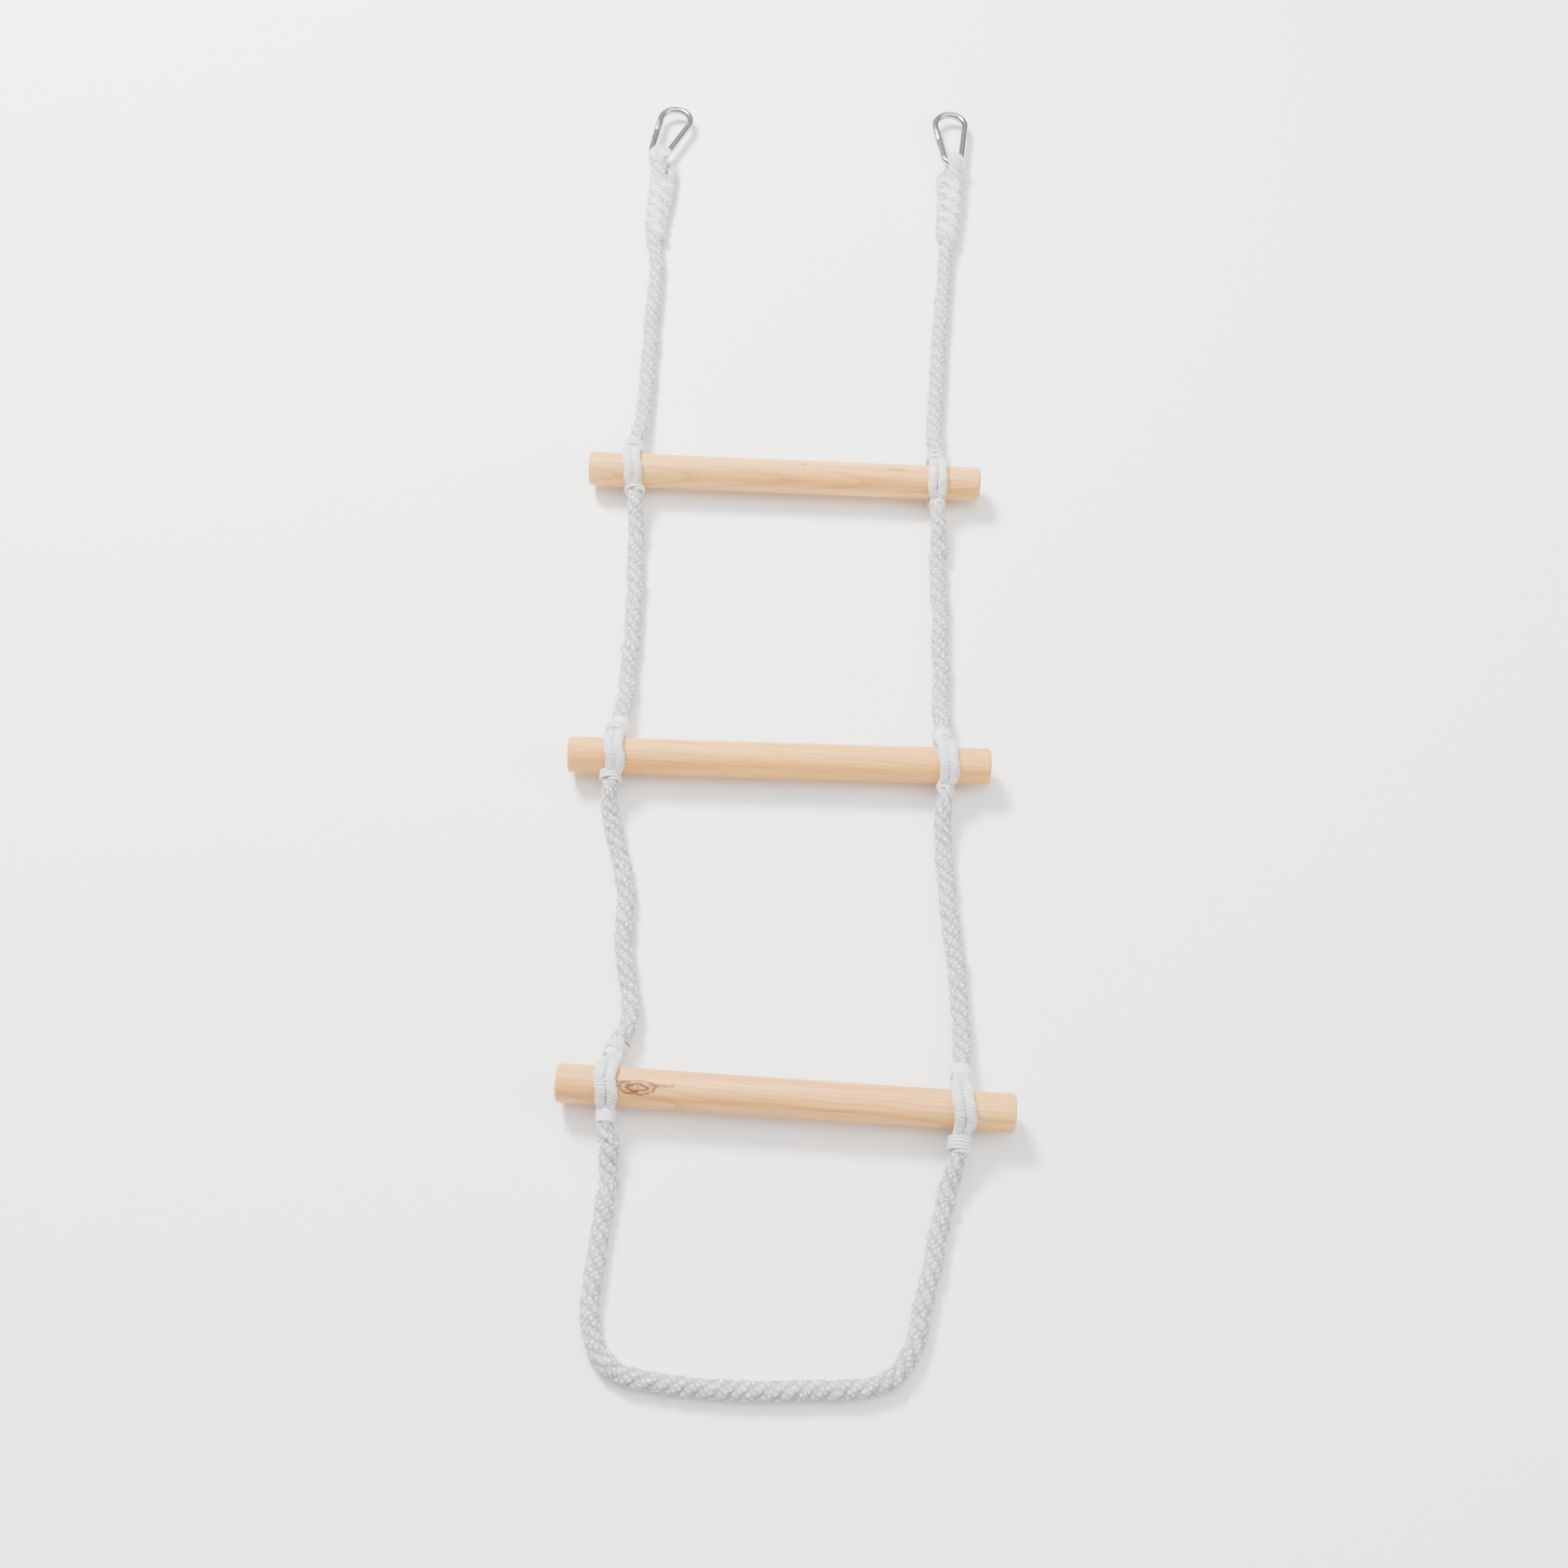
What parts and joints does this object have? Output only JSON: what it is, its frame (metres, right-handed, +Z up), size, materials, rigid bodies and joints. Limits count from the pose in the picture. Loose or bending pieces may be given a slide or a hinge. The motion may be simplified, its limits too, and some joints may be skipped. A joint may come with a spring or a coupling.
{
  "type": "escape rope ladder",
  "caption": "Rope ladder with round wooden rungs held in an opened strand rope, a rope loop at the foot and a spring snap hook spliced into each upper end.",
  "frame": {"origin": "middle of the whole ladder's outline, on the floor it lies on", "axes": "+Y along the ladder from the bottom loop to the hooks, +X to the right along the rungs, +Z up from the floor"},
  "size_m": [0.4428, 1.5024, 0.0502],
  "materials": {
    "wood": "sanded bare wood",
    "rope": "laid white synthetic rope",
    "seizing_thread": "white thread",
    "plated_steel": "bright zinc plating",
    "spring_steel": "bright wire"
  },
  "bodies": {
    "rung_2_group": {"rung_2": "wood", "left_strands_at_rung_2": "rope", "right_strands_at_rung_2": "rope", "left_seizings_at_rung_2": "seizing_thread", "right_seizings_at_rung_2": "seizing_thread", "left_rope_above_rung_2": "rope", "right_rope_above_rung_2": "rope", "left_rope_below_rung_2": "rope", "right_rope_below_rung_2": "rope", "left_rope_bend_1_2": "rope", "right_rope_bend_1_2": "rope", "left_rope_bend_2_3": "rope", "right_rope_bend_2_3": "rope"},
    "rung_1_group": {"rung_1": "wood", "left_strands_at_rung_1": "rope", "right_strands_at_rung_1": "rope", "left_seizings_at_rung_1": "seizing_thread", "right_seizings_at_rung_1": "seizing_thread", "left_rope_above_rung_1": "rope", "right_rope_above_rung_1": "rope", "left_rope_below_rung_1": "rope", "right_rope_below_rung_1": "rope", "left_top_rope_bend": "rope", "right_top_rope_bend": "rope"},
    "rung_3_group": {"rung_3": "wood", "left_strands_at_rung_3": "rope", "right_strands_at_rung_3": "rope", "left_seizings_at_rung_3": "seizing_thread", "right_seizings_at_rung_3": "seizing_thread", "left_rope_above_rung_3": "rope", "right_rope_above_rung_3": "rope", "left_rope_below_rung_3": "rope", "right_rope_below_rung_3": "rope", "left_loop_bend": "rope", "right_loop_bend": "rope"},
    "bottom_loop": {"bottom_loop_rope": "rope"},
    "left_eye": {"left_eye_rope": "rope"},
    "right_eye": {"right_eye_rope": "rope"},
    "left_hook": {"left_hook_body": "plated_steel", "left_hook_pin": "plated_steel", "left_hook_spring": "spring_steel"},
    "right_hook": {"right_hook_body": "plated_steel", "right_hook_pin": "plated_steel", "right_hook_spring": "spring_steel"},
    "left_gate": {"left_hook_gate": "plated_steel"},
    "right_gate": {"right_hook_gate": "plated_steel"}
  },
  "joints": [
    {"name": "upper_span_fold", "type": "hinge", "parent": "rung_2_group", "child": "rung_1_group", "pos_m": [0, 0.026, 0.009], "axis": [1, 0, 0], "range_deg": [0, 110], "deforming": ["left_rope_bend_1_2", "right_rope_bend_1_2"]},
    {"name": "lower_span_fold", "type": "hinge", "parent": "rung_2_group", "child": "rung_3_group", "pos_m": [0, -0.317, 0.009], "axis": [-1, 0, 0], "range_deg": [0, 110], "deforming": ["left_rope_bend_2_3", "right_rope_bend_2_3"]},
    {"name": "bottom_loop_fold", "type": "hinge", "parent": "rung_3_group", "child": "bottom_loop", "pos_m": [0, -0.6, 0.009], "axis": [-1, 0, 0], "range_deg": [0, 90], "deforming": ["left_loop_bend", "right_loop_bend"]},
    {"name": "left_rope_fold", "type": "hinge", "parent": "rung_1_group", "child": "left_eye", "pos_m": [-0.1725, 0.387, 0.009], "axis": [1, 0, 0], "range_deg": [0, 65], "deforming": ["left_top_rope_bend"]},
    {"name": "right_rope_fold", "type": "hinge", "parent": "rung_1_group", "child": "right_eye", "pos_m": [0.144, 0.387, 0.009], "axis": [1, 0, 0], "range_deg": [0, 65], "deforming": ["right_top_rope_bend"]},
    {"name": "left_hook_swing", "type": "hinge", "parent": "left_eye", "child": "left_hook", "pos_m": [-0.18534, 0.65741, 0.0135], "axis": [0.9588, -0.284, 0], "range_deg": [0, 90]},
    {"name": "right_hook_swing", "type": "hinge", "parent": "right_eye", "child": "right_hook", "pos_m": [0.1592, 0.67002, 0.0135], "axis": [0.9976, 0.0698, 0], "range_deg": [0, 90]},
    {"name": "left_gate_hinge", "type": "hinge", "parent": "left_hook", "child": "left_gate", "pos_m": [-0.18929, 0.69089, 0.0135], "axis": [0, 0, -1], "range_deg": [0, 35], "stiffness_Nm_per_rad": 0.05, "springref_deg": -17.19},
    {"name": "right_gate_hinge", "type": "hinge", "parent": "right_hook", "child": "right_gate", "pos_m": [0.14377, 0.7, 0.0135], "axis": [0, 0, -1], "range_deg": [0, 35], "stiffness_Nm_per_rad": 0.05, "springref_deg": -17.19}
  ]
}
